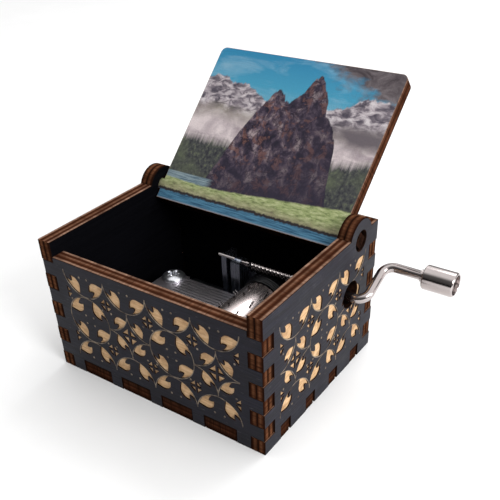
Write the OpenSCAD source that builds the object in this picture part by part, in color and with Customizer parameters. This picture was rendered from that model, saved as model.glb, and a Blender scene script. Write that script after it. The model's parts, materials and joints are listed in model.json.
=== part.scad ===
// Hand-cranked cylinder music box: a finger-jointed plywood case with a swinging lid,
// holding an 18-note comb-and-cylinder movement that a Z-bent crank drives through a worm.
// Millimetres. Origin at the centre of the case's underside, +X towards the crank,
// +Y towards the back, +Z up. The lid is drawn open, leaning on the back wall.

/* [Case] */
// Outside width of the case, left to right
case_w = 64; // [62:1:72]
// Outside depth of the case, front to back
case_d = 50.6; // [50:0.2:56]
// Height of the side and back walls
case_h = 37.1; // [36:0.1:44]
// Plywood thickness
ply = 3.8; // [3.4:0.1:3.8]
// Height of one finger of the corner joints
finger_h = 3.975; // [3.8:0.025:4.1]

/* [Lid] */
// Distance of the lid's pivot in front of the case's rear face
pivot_inset = 8.7; // [8.6:0.1:9.2]
// Length of the lid behind its pivot
lid_tail = 4.05; // [3.4:0.05:4.1]
// Angle the lid has swung from closed to the drawn pose
lid_open_angle = 137; // [0:1:137]
// Gap between the lid and each side wall
lid_side_gap = 0.5; // [0.3:0.1:0.8]
// Radius of the round ear around each pivot hole
ear_r = 5.5; // [5:0.1:5.8]

/* [Movement] */
// Number of comb teeth
notes = 18; // [12:1:18]
// Spacing of the teeth along the cylinder
note_pitch = 1.12; // [1:0.02:1.12]
// Radius of the pinned cylinder
drum_r = 6.2; // [5.8:0.1:6.2]
// How far each pin stands out of the cylinder
pin_h = 0.8; // [0.5:0.1:0.8]
// Number of teeth on the worm wheel
wheel_teeth = 38; // [36:1:40]

/* [Crank] */
// Radius of the crank wire
wire_r = 1.2; // [1.1:0.05:1.2]
// Distance between the crank's two parallel legs
crank_throw = 11.7; // [10:0.1:13]
// Angle of the crank's arm above the horizontal, towards the back
crank_angle = 23.7; // [0:0.1:360]
// Outside radius of the turning knob
knob_r = 3.05; // [2.8:0.05:4]
// Length of the turning knob
knob_len = 7.8; // [7:0.1:12]

/* [Hidden] */

$fn = 96;
eps = 0.01;

// Case
half_w = case_w / 2;
half_d = case_d / 2;
inner_x = half_w - ply;
inner_y = half_d - ply;
top_finger_z = 8 * finger_h;
front_wall_h = case_h - ply - 0.1;
joint_slack = 0.2;
front_tab_w = 8.9;
front_tab_x = [-19.5, -6.5, 6.5, 19.5];
side_tab_w = 3.3;
side_tab_y = [-16.65, -5.55, 5.55, 16.65];
front_slot_w = front_tab_w + 0.4;
side_slot_w = side_tab_w + 0.8;

// Lid
pivot_y = half_d - pivot_inset;
pivot_z = case_h - ply / 2;
pivot_hole_r = 2.6;
lid_w = 2 * (inner_x - lid_side_gap);
lid_reach = pivot_y + half_d;
lid_corner_r = 1.6;
stub_w = 3.2;
stub_end_gap = 0.3;

// Crank and worm axis
crank_y = 12.27;
crank_z = 21.95;
crank_hole_y = 12.6;
crank_hole_z = 22.4;
crank_hole_r = 3.45;
bend_r = 2.8;
arm_x = 36.05;
journal_r = 0.6;
journal_x = -2.4;
shoulder_x = 1.9;
knob_x = 46.2;
knob_recess_r = 2.45;
knob_recess_depth = 1.6;
knob_gap = 0.1;
wire_head_r = 1.9;
wire_head_t = 0.7;
swage_r = 1.55;
swage_len = 0.8;
running_gap = 0.06;
collar_r = 2.0;
collar_t = 0.9;

// Cylinder and worm gearing
drum_x = 8.8;
drum_z = 14.0;
drum_y0 = -12.8;
drum_y1 = 8.2;
drum_wall = 0.7;
arbor_r = 1.0;
plug_t = 1.0;
centre_distance = crank_z - drum_z;
worm_crest_r = wire_r - 0.02;
worm_root_r = 0.85;
worm_mean_r = (worm_crest_r + worm_root_r) / 2;
wheel_pitch_r = centre_distance - worm_mean_r;
wheel_crest_r = centre_distance - worm_root_r - 0.1;
wheel_root_r = centre_distance - worm_crest_r - 0.12;
worm_lead = 2 * PI * wheel_pitch_r / wheel_teeth;
worm_lead_angle = atan(worm_lead / (2 * PI * worm_mean_r));
worm_turns = 11;
worm_steps = 20;
// The thread is lowest half a turn after its start, and lies in a gap of the wheel at drum_x
worm_x0 = drum_x - 4.5 * worm_lead;
wheel_y0 = crank_y - 1.55;
wheel_y1 = crank_y + 1.55;
flange_y0 = drum_y1 + 0.3;
flange_r = 6.5;
dish_depth = 0.7;
dish_rim = 1.4;
pin_r = 0.24;
pins_per_note = 4;

// Comb
comb_top = 14.6;
comb_t = 1.5;
comb_x0 = -21.8;
comb_y1 = 8.3;
comb_y0 = comb_y1 - notes * note_pitch - 0.5;
teeth_x0 = -14.9;
tooth_root = 0.5;
tooth_t = 0.6;
tooth_gap = 0.30;
comb_tip_x = drum_x - drum_r - pin_h - 0.15;
first_note_y = comb_y1 - 0.7 - note_pitch / 2;
comb_screw_x = -18.3;
comb_screw_y = [5.6, -9.4];
comb_screw_r = 1.25;
comb_hole_r = 1.45;
comb_seat_depth = 6;
weight_l = 2.4;
weight_inset = 1.0;
weight_gap = 0.34;

// Bedplate and brackets
floor_z = ply;
bed_t = 1.5;
bed_top = floor_z + bed_t;
bed_x0 = -23.5;
bed_x1 = 21.5;
bed_y0 = -15.8;
bed_y1 = 20.2;
front_lug_y = -15.2;
lug_t = 1.5;
web_y = 14.4;
web_t = 1.4;
web_top = 18.4;
rib_x0 = -5.5;
rib_x1 = -3.9;
post_x0 = -2.6;
post_x1 = 0.3;
post_r = 1.4;
flange_x0 = -6.3;
flange_x1 = -1.2;
flange_z = 22.75;
flange_t = 0.5;
flange_d = 1.1;
lug_x0 = 18.3;
lug_x1 = 20.3;
lug_r = 2.15;
foot_t = 1.2;
foot_len = 4.2;
bracket_screw_x = [-3.2, 17.6];
bracket_screw_y = web_y + web_t + foot_len / 2;
bracket_screw_r = 0.8;
mount_screw_xy = [[-16.5, -1.8], [14.5, -9.5], [7.2, 18.1]];
mount_screw_r = 0.95;
mount_head_r = 2.0;
mount_head_h = 1.1;
hole_slack = 0.2;
post_top = crank_z + 0.95;
lug_half_w = 2.6;
lug_foot = 0.5;
lug_clear = 3;

// Colours
ply_brown = [0.45, 0.30, 0.20];
paint_grey = [0.24, 0.25, 0.30];
steel = [0.70, 0.70, 0.72];
zinc = [0.55, 0.55, 0.58];
dark_steel = [0.42, 0.42, 0.44];
lead_grey = [0.40, 0.40, 0.42];
black = [0.08, 0.08, 0.09];

// ---------------------------------------------------------------- plywood case

// A sheet of plywood standing across Y: its outline is drawn in X and Z
module sheet_xz(y) {
    translate([0, y + ply, 0]) rotate([90, 0, 0]) linear_extrude(ply) children();
}

// A sheet of plywood standing across X: its outline is drawn in Y and Z
module sheet_yz(x) {
    translate([x, 0, 0]) rotate([90, 0, 90]) linear_extrude(ply) children();
}

// Rectangle given by its limits
module rect(x0, x1, y0, y1) {
    translate([x0, y0]) square([x1 - x0, y1 - y0]);
}

// Outline of the front or back wall: odd fingers reach out through the side walls
module end_wall_outline(height) {
    tab_end = half_w - joint_slack;
    difference() {
        union() {
            rect(-inner_x, inner_x, 0, height);
            for (k = [1:2:7])
                rect(-tab_end, tab_end, k * finger_h + joint_slack / 4, (k + 1) * finger_h - joint_slack / 4);
        }
        for (x = front_tab_x)
            rect(x - front_slot_w / 2, x + front_slot_w / 2, -1, ply + joint_slack / 2);
    }
}

// Outline of a side wall: even fingers, a tall top one and the lid's round ear
module side_wall_outline() {
    difference() {
        union() {
            rect(-half_d, half_d, 0, case_h);
            translate([pivot_y, pivot_z]) circle(ear_r);
        }
        for (side = [-1, 1])
            for (k = [1:2:7])
                translate([side * (half_d - ply / 2 - joint_slack / 2 + eps), (k + 0.5) * finger_h])
                    square([ply + joint_slack + 2 * eps, finger_h], center = true);
        for (y = side_tab_y)
            rect(y - side_slot_w / 2, y + side_slot_w / 2, -1, ply + joint_slack / 2);
        translate([pivot_y, pivot_z]) circle(pivot_hole_r);
    }
}

module front_wall() {
    color(paint_grey) sheet_xz(-half_d) end_wall_outline(front_wall_h);
}

module back_wall() {
    color(paint_grey) sheet_xz(inner_y) end_wall_outline(case_h);
}

module left_wall() {
    color(paint_grey) sheet_yz(-half_w) side_wall_outline();
}

module right_wall() {
    color(paint_grey) sheet_yz(inner_x) difference() {
        side_wall_outline();
        translate([crank_hole_y, crank_hole_z]) circle(crank_hole_r);
    }
}

// Floor of the case, with tabs into all four walls and countersunk screw holes
module base_panel() {
    color(ply_brown) difference() {
        linear_extrude(ply) {
            square([2 * inner_x, 2 * inner_y], center = true);
            for (x = front_tab_x)
                square_at(x, 0, front_tab_w, case_d - joint_slack);
            for (y = side_tab_y)
                square_at(0, y - 0.3, case_w - joint_slack, side_tab_w);
        }
        for (p = mount_screw_xy) translate([p[0], p[1], 0]) {
            translate([0, 0, -eps]) cylinder(r = mount_screw_r + hole_slack, h = ply + 1);
            translate([0, 0, -eps])
                cylinder(r1 = mount_head_r + 0.15, r2 = mount_screw_r + hole_slack, h = mount_head_h);
        }
    }
}

module square_at(x, y, w, h) {
    translate([x, y]) square([w, h], center = true);
}

// Lid, drawn closed about its own pivot and then swung open
module lid_panel() {
    color(ply_brown) translate([0, pivot_y, pivot_z]) rotate([-lid_open_angle, 0, 0])
        translate([0, 0, -ply / 2]) linear_extrude(ply) {
            lid_outline();
            stub_reach = 2 * (half_w - stub_end_gap);
            square([stub_reach, stub_w], center = true);
        }
}

module lid_outline() {
    r = lid_corner_r;
    rect(-lid_w / 2, lid_w / 2, -lid_reach + r, lid_tail);
    rect(-lid_w / 2 + r, lid_w / 2 - r, -lid_reach, lid_tail);
    for (side = [-1, 1])
        translate([side * (lid_w / 2 - r), -lid_reach + r]) circle(r);
}

// ---------------------------------------------------------------- frame of the movement

// Round-topped lug standing on the bedplate across Y, with a bearing hole
module bearing_lug_y(x, z, y, t, half_width, hole_r) {
    translate([0, y + t, 0]) rotate([90, 0, 0]) linear_extrude(t) difference() {
        union() {
            rect(x - half_width, x + half_width, bed_top - lug_foot, z);
            translate([x, z]) circle(half_width);
        }
        translate([x, z]) circle(hole_r);
    }
}

// Die-cast bedplate: floor, raised seat for the comb and the cylinder's front bearing
module bedplate() {
    color(zinc) difference() {
        union() {
            translate([bed_x0, bed_y0, floor_z]) cube([bed_x1 - bed_x0, bed_y1 - bed_y0, bed_t]);
            translate([comb_x0, comb_y0, floor_z])
                cube([teeth_x0 - tooth_t - comb_x0, comb_y1 - comb_y0, comb_top - comb_t - floor_z]);
            bearing_lug_y(drum_x, drum_z, front_lug_y, lug_t, lug_half_w, arbor_r + running_gap);
        }
        for (p = mount_screw_xy)
            translate([p[0], p[1], floor_z - 1]) cylinder(r = mount_screw_r, h = bed_t + 2);
        for (y = comb_screw_y)
            translate([comb_screw_x, y, comb_top - comb_seat_depth])
                cylinder(r = comb_screw_r, h = comb_seat_depth);
        for (x = bracket_screw_x)
            translate([x, bracket_screw_y, floor_z - 1]) cylinder(r = bracket_screw_r, h = bed_t + 2);
    }
}

// Rear bracket: a web behind the gearing, a foot, and the two bearings of the crank shaft
module rear_bracket() {
    color(zinc) difference() {
        union() {
            translate([rib_x0, web_y, bed_top]) cube([lug_x1 - rib_x0, web_t, web_top - bed_top]);
            translate([rib_x0, web_y + eps, bed_top]) cube([lug_x1 - rib_x0, web_t + foot_len, foot_t]);
            translate([rib_x0, crank_y - post_r, bed_top])
                cube([rib_x1 - rib_x0, web_y + web_t - crank_y + post_r, flange_z + flange_t / 2 - bed_top]);
            translate([flange_x0, crank_y - post_r, flange_z])
                cube([flange_x1 - flange_x0, flange_d, flange_t]);
            bearing_lug_x(post_x0, post_x1, post_r, post_top - post_r);
            bearing_lug_x(lug_x0, lug_x1, lug_r, crank_z);
        }
        bore_x(journal_x - 0.1, post_x1 + 1, journal_r + running_gap);
        bore_x(lug_x0 - 1, lug_x1 + 1, wire_r + running_gap);
        translate([0, web_y + web_t + 1, 0]) bar_y(drum_x, drum_z, -web_t - 2, 1, arbor_r + running_gap);
        for (x = bracket_screw_x)
            translate([x, bracket_screw_y, bed_top - 1])
                cylinder(r = bracket_screw_r + hole_slack, h = foot_t + 2);
        translate([mount_screw_xy[2][0], mount_screw_xy[2][1], bed_top - 1])
            cylinder(r = mount_screw_r + 2 * hole_slack, h = foot_t + 2);
    }
}

// Round-topped lug standing across X in front of the web, up to the crank shaft
module bearing_lug_x(x0, x1, r, top_centre_z) {
    translate([x0, 0, 0]) rotate([90, 0, 90]) linear_extrude(x1 - x0) {
        rect(crank_y - r, web_y + web_t / 2, bed_top + lug_clear, top_centre_z);
        translate([crank_y, top_centre_z]) circle(r);
    }
}

// Hole along the crank shaft's axis
module bore_x(x0, x1, r) {
    translate([0, crank_y, crank_z]) wire_x(x0, x1, r);
}

// Steel comb: a thick rear part and thin teeth cut from one plate
module comb() {
    color(dark_steel) difference() {
        union() {
            translate([comb_x0, comb_y0, comb_top - comb_t])
                cube([teeth_x0 - comb_x0, comb_y1 - comb_y0, comb_t]);
            for (k = [0:notes - 1])
                translate([teeth_x0 - tooth_root, note_y(k) - (note_pitch - tooth_gap) / 2,
                    comb_top - tooth_t])
                    cube([comb_tip_x - teeth_x0 + tooth_root, note_pitch - tooth_gap, tooth_t]);
        }
        for (y = comb_screw_y)
            translate([comb_screw_x, y, comb_top - comb_t - 1]) cylinder(r = comb_hole_r, h = comb_t + 2);
    }
}

function note_y(k) = first_note_y - k * note_pitch;

// Lead weights under the low notes, heavier towards the front
module comb_weights() {
    color(lead_grey) for (k = [floor(notes / 2):notes - 1]) {
        drop = 0.5 + 0.12 * (k - notes / 2);
        translate([comb_tip_x - weight_inset - weight_l, note_y(k) - (note_pitch - weight_gap) / 2,
            comb_top - tooth_t - drop])
            cube([weight_l, note_pitch - weight_gap, drop]);
    }
}

// ---------------------------------------------------------------- fasteners

// Pan-head screw with a cross recess, head seated at the origin, shank pointing down
module pan_screw(head_r, head_h, shank_r, shank_len) {
    edge = head_h * 0.45;
    slot_l = head_r * 1.1;
    slot_w = head_r * 0.22;
    difference() {
        union() {
            rotate_extrude() {
                rect(0, head_r - edge, 0, head_h);
                rect(0, head_r, 0, head_h - edge);
                translate([head_r - edge, head_h - edge]) intersection() {
                    circle(edge);
                    square(edge);
                }
            }
            translate([0, 0, -shank_len]) cylinder(r = shank_r, h = shank_len + eps);
        }
        for (a = [0, 90]) rotate([0, 0, a + 20])
            translate([-slot_l / 2, -slot_w / 2, edge]) cube([slot_l, slot_w, head_h]);
    }
}

module comb_screws() {
    color(steel) for (y = comb_screw_y)
        translate([comb_screw_x, y, comb_top]) pan_screw(3.2, 1.7, comb_screw_r, 5);
}

module bracket_screws() {
    color(steel) for (x = bracket_screw_x)
        translate([x, bracket_screw_y, bed_top + foot_t])
            pan_screw(1.7, 1.1, bracket_screw_r, foot_t + bed_t - 0.1);
}

// Countersunk screws up through the floor of the case into the bedplate
module mounting_screws() {
    color(steel) for (p = mount_screw_xy) translate([p[0], p[1], 0.1]) difference() {
        union() {
            cylinder(r1 = mount_head_r, r2 = mount_screw_r, h = mount_head_h);
            cylinder(r = mount_screw_r, h = floor_z + bed_t - 0.2);
        }
        for (a = [0, 90]) rotate([0, 0, a]) translate([-1.1, -0.2, -eps]) cube([2.2, 0.4, 0.6]);
    }
}

// ---------------------------------------------------------------- pinned cylinder

// A round bar along Y
module bar_y(x, z, y0, y1, r) {
    translate([x, y0, z]) rotate([-90, 0, 0]) cylinder(r = r, h = y1 - y0);
}

module drum_sleeve() {
    color(steel) difference() {
        bar_y(drum_x, drum_z, drum_y0, drum_y1, drum_r);
        bar_y(drum_x, drum_z, drum_y0 - 1, drum_y1 + 1, drum_r - drum_wall);
    }
}

// The pins of every tooth, spread round the cylinder by uneven steps
module drum_pins() {
    color(dark_steel) for (k = [0:notes - 1])
        for (j = [0:pins_per_note - 1]) {
            turn = (j * 90 + k * 143 + j * j * 17) % 360;
            translate([drum_x, note_y(k), drum_z]) rotate([0, turn, 0])
                translate([0, 0, drum_r - drum_wall + 0.1])
                    cylinder(r = pin_r, h = drum_wall - 0.1 + pin_h, $fn = 24);
        }
}

module drum_end_plugs() {
    color(steel) for (y = [drum_y0 + 0.2, drum_y1 - plug_t - 0.2]) difference() {
        bar_y(drum_x, drum_z, y, y + plug_t, drum_r - drum_wall);
        bar_y(drum_x, drum_z, y - 1, y + plug_t + 1, arbor_r);
    }
}

module drum_arbor() {
    color(steel) bar_y(drum_x, drum_z, front_lug_y - 0.4, web_y + web_t + 0.3, arbor_r);
}

// Moulded worm wheel: slanted teeth round a rim, and a plain flange towards the cylinder
module worm_wheel() {
    color(black) difference() {
        union() {
            bar_y(drum_x, drum_z, wheel_y0, wheel_y1, wheel_root_r);
            bar_y(drum_x, drum_z, flange_y0, wheel_y0 + eps, flange_r);
            for (k = [0:wheel_teeth - 1])
                translate([drum_x, crank_y, drum_z]) rotate([0, (k + 0.5) * 360 / wheel_teeth, 0])
                    wheel_tooth();
        }
        bar_y(drum_x, drum_z, flange_y0 - 1, wheel_y1 + 1, arbor_r);
        bar_y(drum_x, drum_z, wheel_y1 - dish_depth, wheel_y1 + 1, wheel_root_r - dish_rim);
    }
}

// One tooth pointing up, slanted to follow the worm's thread
module wheel_tooth() {
    foot = 0.27;
    tip = 0.15;
    slant = 2.9;
    rotate([90, 0, -worm_lead_angle]) translate([0, 0, -slant / 2]) linear_extrude(slant)
        polygon([[-foot, wheel_root_r - 0.2], [foot, wheel_root_r - 0.2],
            [tip, wheel_crest_r], [-tip, wheel_crest_r]]);
}

// ---------------------------------------------------------------- crank

// Thread of the worm: a trapezium wound along +X round the X axis
module worm_thread() {
    foot = 0.20;
    tip = 0.07;
    deep = worm_root_r - 0.12;
    profile = [[-foot, deep], [-tip, worm_crest_r], [tip, worm_crest_r], [foot, deep]];
    stations = worm_turns * worm_steps;
    points = [for (i = [0:stations]) for (p = profile)
        let (a = i * 360 / worm_steps)
        [worm_x0 + i * worm_lead / worm_steps + p[0], -p[1] * sin(a), p[1] * cos(a)]];
    sides = [for (i = [0:stations - 1]) for (j = [0:3])
        let (a = 4 * i + j, b = 4 * i + (j + 1) % 4)
        each [[a, b, a + 4], [b, b + 4, a + 4]]];
    last = 4 * stations;
    ends = [[0, 2, 1], [0, 3, 2], [last, last + 1, last + 2], [last, last + 2, last + 3]];
    polyhedron(points = points, faces = concat(sides, ends), convexity = 10);
}

// A quarter bend of the crank wire
module wire_bend() {
    rotate_extrude(angle = 90) translate([bend_r, 0]) circle(wire_r, $fn = 48);
}

// A length of crank wire along X
module wire_x(x0, x1, r) {
    translate([x0, 0, 0]) rotate([0, 90, 0]) cylinder(r = r, h = x1 - x0);
}

// Crank: straight shaft with the worm cut in it, two bends, and the leg the knob turns on
module crank_shaft() {
    neck_x1 = worm_x0 + worm_turns * worm_lead - 0.4;
    knob_seat = knob_x + knob_len - knob_recess_depth;
    color(steel) translate([0, crank_y, crank_z]) {
        wire_x(journal_x, shoulder_x + eps, journal_r);
        wire_x(shoulder_x, neck_x1 + eps, worm_root_r);
        worm_thread();
        rotate([crank_angle, 0, 0]) {
            wire_x(neck_x1, arm_x - bend_r, wire_r);
            translate([arm_x - bend_r, bend_r, 0]) rotate([0, 0, -90]) wire_bend();
            translate([arm_x, bend_r, 0]) rotate([-90, 0, 0])
                cylinder(r = wire_r, h = crank_throw - 2 * bend_r);
            translate([arm_x + bend_r, crank_throw - bend_r, 0]) rotate([0, 0, 90]) wire_bend();
            translate([0, crank_throw, 0]) {
                wire_x(arm_x + bend_r, knob_seat + knob_gap + wire_head_t, wire_r);
                wire_x(knob_x - knob_gap - swage_len, knob_x - knob_gap, swage_r);
                wire_x(knob_seat + knob_gap, knob_seat + knob_gap + wire_head_t, wire_head_r);
            }
        }
    }
}

// Rings pressed on the shaft on both sides of its right bearing, to keep it from sliding
module shaft_collars() {
    color(steel) translate([0, crank_y, crank_z])
        for (x = [lug_x0 - 0.1 - collar_t, lug_x1 + 0.1]) difference() {
            wire_x(x, x + collar_t, collar_r);
            wire_x(x - 1, x + collar_t + 1, wire_r);
        }
}

// Hollow knob that turns on the crank's outer leg, recessed at its outer end
module crank_knob() {
    edge = 0.3;
    color(steel) translate([0, crank_y, crank_z]) rotate([crank_angle, 0, 0])
        translate([knob_x, crank_throw, 0]) rotate([0, 90, 0]) rotate_extrude()
            polygon([[wire_r + running_gap, 0], [knob_r - edge, 0], [knob_r, edge],
                [knob_r, knob_len - edge], [knob_r - edge, knob_len],
                [knob_recess_r, knob_len], [knob_recess_r, knob_len - knob_recess_depth],
                [wire_r + running_gap, knob_len - knob_recess_depth]]);
}

// ---------------------------------------------------------------- assembly

base_panel();
front_wall();
back_wall();
left_wall();
right_wall();
lid_panel();
bedplate();
rear_bracket();
comb();
comb_weights();
comb_screws();
bracket_screws();
mounting_screws();
drum_sleeve();
drum_pins();
drum_end_plugs();
drum_arbor();
worm_wheel();
crank_shaft();
shaft_collars();
crank_knob();
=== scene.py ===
import json
import math

import bmesh
import bpy
from mathutils import Matrix, Vector
from mathutils.geometry import delaunay_2d_cdt


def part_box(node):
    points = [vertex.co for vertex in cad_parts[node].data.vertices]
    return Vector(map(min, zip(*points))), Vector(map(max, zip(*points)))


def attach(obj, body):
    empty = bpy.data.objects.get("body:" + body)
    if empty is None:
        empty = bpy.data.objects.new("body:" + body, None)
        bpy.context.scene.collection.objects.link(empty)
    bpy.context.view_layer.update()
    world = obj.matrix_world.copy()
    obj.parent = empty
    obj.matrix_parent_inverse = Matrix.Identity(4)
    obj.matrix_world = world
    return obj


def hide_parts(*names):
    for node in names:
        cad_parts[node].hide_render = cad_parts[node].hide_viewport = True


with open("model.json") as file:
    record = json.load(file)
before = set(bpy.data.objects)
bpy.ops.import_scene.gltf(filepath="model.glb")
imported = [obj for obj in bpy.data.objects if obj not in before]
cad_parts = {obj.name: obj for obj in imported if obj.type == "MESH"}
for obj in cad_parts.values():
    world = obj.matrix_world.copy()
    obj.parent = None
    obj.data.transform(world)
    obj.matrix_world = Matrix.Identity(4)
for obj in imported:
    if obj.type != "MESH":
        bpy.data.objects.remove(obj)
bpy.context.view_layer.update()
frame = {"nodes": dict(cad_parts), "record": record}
MM = 0.001
UP = Vector((0, 0, 1))
joints = {joint["name"]: joint for joint in frame["record"]["behaviour"]["joints"]}


def node_box(name):
    """A CAD node's lowest and highest corners as vectors."""
    low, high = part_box(name)
    return Vector(low), Vector(high)


front_low, front_high = node_box("front_wall")
PLY = front_high.y - front_low.y
CASE_TOP = node_box("back_wall")[1].z
HINGE = Vector(joints["lid_hinge"]["pos_m"])
CRANK = Vector(joints["crank_spin"]["pos_m"])
LID_ANGLE = math.radians(joints["lid_hinge"]["range_deg"][1])
LID_ALONG = Vector((0, -math.cos(LID_ANGLE), math.sin(LID_ANGLE)))
LID_OUT = Vector((0, math.sin(LID_ANGLE), math.cos(LID_ANGLE)))

# A side wall's edge faces that are no further than this from a hole's axis belong to the hole
HOLE_REACH = 4.3 * MM
# How much is taken off the plywood's sharp edges
EASED = 0.12 * MM
FLOOR_EASED = 0.10 * MM
# Cosine between a face's normal and a direction: it looks along it, or lies exactly across it
FACING = 0.99
LEVEL = 0.9999


# ------------------------------------------------------------------ camera, light and floor

# Degrees round from the front, above the horizon and of tilt, then millimetres
VIEW_AZIMUTH = 35.63
VIEW_ELEVATION = 36.3
VIEW_TILT = -2.08
VIEW_DISTANCE = 163.36
VIEW_TARGET = Vector((19.93, -12.37, 20.0)) * MM
LENS = 51.4
VIEW_SHIFT = (-0.0023, 0.1773)


def add_camera():
    """The photograph's view: close to the front right corner, and looking down on it."""
    azimuth, elevation, roll = (math.radians(a) for a in (VIEW_AZIMUTH, VIEW_ELEVATION, VIEW_TILT))
    flat = math.cos(elevation)
    back = Vector((math.sin(azimuth) * flat, -math.cos(azimuth) * flat, math.sin(elevation)))
    level_right = UP.cross(back).normalized()
    level_up = back.cross(level_right)
    right = level_right * math.cos(roll) + level_up * math.sin(roll)
    up = level_up * math.cos(roll) - level_right * math.sin(roll)
    camera = bpy.data.objects.new("camera", bpy.data.cameras.new("camera"))
    bpy.context.collection.objects.link(camera)
    placed = Matrix((right, up, back)).transposed().to_4x4()
    placed.translation = VIEW_TARGET + back * VIEW_DISTANCE * MM
    camera.matrix_world = placed
    camera.data.sensor_width = 36
    camera.data.lens = LENS
    camera.data.shift_x, camera.data.shift_y = VIEW_SHIFT
    camera.data.clip_start = 0.005
    bpy.context.scene.camera = camera


# Soft boxes: where they stand, their two sides in metres and their power in watts
LIGHTS = {
    "key_box": ((0.45, -0.12, 0.32), (0.20, 0.20), 1.5),
    "back_box": ((0.05, 0.45, 0.55), (0.36, 0.30), 1.6),
    "side_box": ((0.50, 0.08, 0.14), (0.15, 0.15), 0.55)}
LIT_POINT = Vector((0, 0, 0.02))
# How bright the room is, by the sine of the angle above the horizon
ROOM_SHADES = [(0.0, 0.04), (0.14, 0.03), (0.26, 0.40), (0.46, 1.0), (0.7, 1.25), (1.0, 1.15)]
# How bright the room looks behind the floor's edge
SEEN_SHADE = 0.76
# How much of the room's light is left in front of the object, and where it falls off along Y
FRONT_SHADE = 0.10
FRONT_FADE = (-0.62, -0.26)
FLOOR_SIZE = 4


def add_light(name, place, size, power):
    """A soft box, standing at place and turned to the object."""
    lamp = bpy.data.lights.new(name, "AREA")
    lamp.shape = "RECTANGLE"
    lamp.size, lamp.size_y = size
    lamp.energy = power
    holder = bpy.data.objects.new(name, lamp)
    bpy.context.collection.objects.link(holder)
    holder.location = place
    holder.rotation_euler = (Vector(place) - LIT_POINT).to_track_quat("Z", "Y").to_euler()


def room_light(tree):
    """The room's brightness by direction: darker low down, and dark in front of the object."""
    nodes, links = tree.nodes, tree.links
    direction = nodes.new("ShaderNodeTexCoord")
    split = nodes.new("ShaderNodeSeparateXYZ")
    links.new(direction.outputs["Generated"], split.inputs[0])
    shades = nodes.new("ShaderNodeValToRGB")
    links.new(split.outputs["Z"], shades.inputs["Fac"])
    points = shades.color_ramp.elements
    while len(points) < len(ROOM_SHADES):
        points.new(1.0)
    for point, (height, shade) in zip(points, ROOM_SHADES):
        point.position = height
        point.color = (shade, shade, shade, 1)
    front = nodes.new("ShaderNodeMapRange")
    links.new(split.outputs["Y"], front.inputs["Value"])
    front.inputs["From Min"].default_value, front.inputs["From Max"].default_value = FRONT_FADE
    front.inputs["To Min"].default_value = FRONT_SHADE
    front.inputs["To Max"].default_value = 1.0
    lit = nodes.new("ShaderNodeMath")
    lit.operation = "MULTIPLY"
    links.new(shades.outputs["Color"], lit.inputs[0])
    links.new(front.outputs["Result"], lit.inputs[1])
    return lit.outputs["Value"]


def add_room():
    """A pale room that lights the object by direction, and looks evenly pale itself."""
    world = bpy.data.worlds.new("studio")
    world.use_nodes = True
    nodes, links = world.node_tree.nodes, world.node_tree.links
    seen = nodes.new("ShaderNodeLightPath")
    strength = nodes.new("ShaderNodeMix")
    links.new(seen.outputs["Is Camera Ray"], strength.inputs["Factor"])
    links.new(room_light(world.node_tree), strength.inputs["A"])
    strength.inputs["B"].default_value = SEEN_SHADE
    background = nodes["Background"]
    background.inputs["Color"].default_value = (1, 1, 1, 1)
    links.new(strength.outputs["Result"], background.inputs["Strength"])
    bpy.context.scene.world = world


def add_studio():
    """A pale floor and soft boxes in a pale room."""
    add_room()
    for name, (place, size, power) in LIGHTS.items():
        add_light(name, place, size, power)
    bpy.ops.mesh.primitive_plane_add(size=FLOOR_SIZE)
    floor = bpy.context.object
    floor.name = "floor"
    floor.data.materials.append(floor_material())
    bpy.context.scene.view_settings.view_transform = "Standard"


# ------------------------------------------------------------------ shader building

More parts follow.
